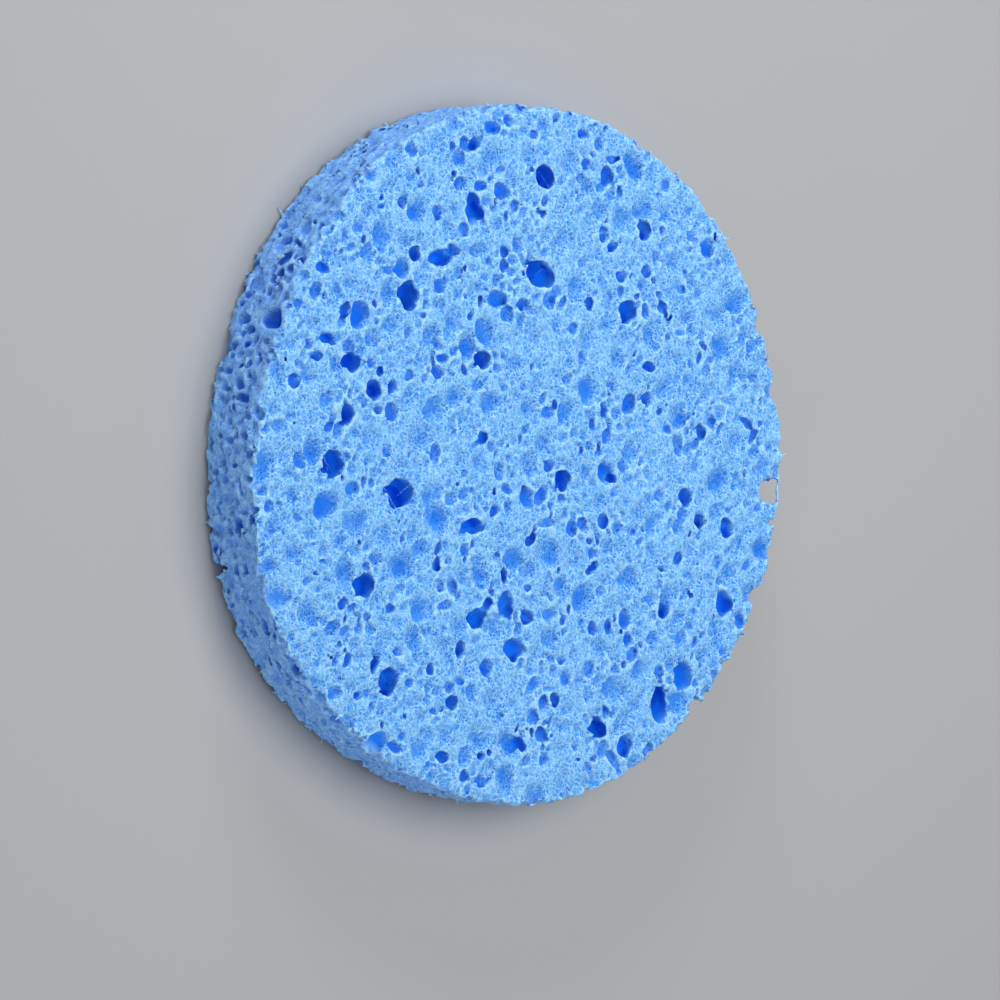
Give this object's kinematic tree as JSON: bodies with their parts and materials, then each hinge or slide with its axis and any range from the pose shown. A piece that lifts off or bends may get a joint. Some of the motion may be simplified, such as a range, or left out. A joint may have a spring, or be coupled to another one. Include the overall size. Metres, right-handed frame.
{
  "type": "facial sponge",
  "caption": "Flat round disc of dry open-celled cellulose foam with large pores on both faces and the side, held in the hand to wash or wipe the face.",
  "frame": {"origin": "middle of the back face, which the sponge rests on", "axes": "+Z out of the front face, through the thickness; X and Y lie in the back face"},
  "size_m": [0.08, 0.08, 0.0085],
  "materials": {
    "cellulose_foam": "dry pale blue cellulose foam, fully matt, with a fine open grain and deep blue pores"
  },
  "bodies": {
    "root": {"sponge": "cellulose_foam"}
  },
  "joints": []
}
